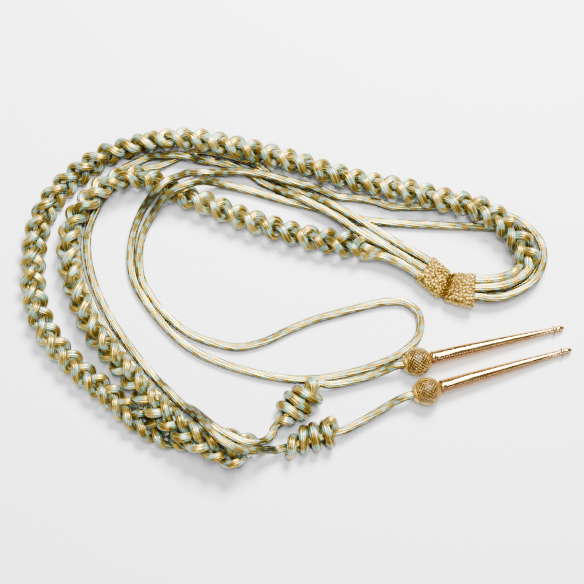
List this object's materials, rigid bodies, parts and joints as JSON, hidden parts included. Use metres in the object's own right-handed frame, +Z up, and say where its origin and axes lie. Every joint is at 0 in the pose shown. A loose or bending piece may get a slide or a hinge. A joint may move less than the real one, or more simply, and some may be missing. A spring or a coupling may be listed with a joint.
{
  "type": "aiguillette",
  "caption": "Corded shoulder ornament lying flat: plaited bands and plain cords from a woven gold wrap, with a loop, coil knots, knitted balls and tapered metal tags.",
  "frame": {"origin": "middle of the ornament's plan, on the surface that it lies on", "axes": "+X from the plaits' bend towards the tags' tips, +Y from the tags towards the outer plait's top stretch, +Z up from the surface"},
  "size_m": [0.3563, 0.2218, 0.0292],
  "materials": {
    "cord": "metal thread over a round core, with aqua checks",
    "gold_wire": "woven gold wire, satin",
    "gold_knit": "knitted gold wire, satin",
    "tag_metal": "polished, with an engine-turned band"
  },
  "bodies": {
    "root": {"outer_plait_strand_1": "cord", "outer_plait_strand_2": "cord", "outer_plait_strand_3": "cord", "inner_plait_strand_1": "cord", "inner_plait_strand_2": "cord", "inner_plait_strand_3": "cord", "loop_cord": "cord", "tag_cord_1_upper": "cord", "tag_cord_2_upper": "cord", "tag_cord_1_lower": "cord", "tag_cord_2_lower": "cord", "coil_knot_1": "cord", "coil_knot_2": "cord", "ball_1": "gold_knit", "ball_2": "gold_knit", "tag_1": "tag_metal", "tag_2": "tag_metal", "wrap": "gold_wire"}
  },
  "joints": []
}
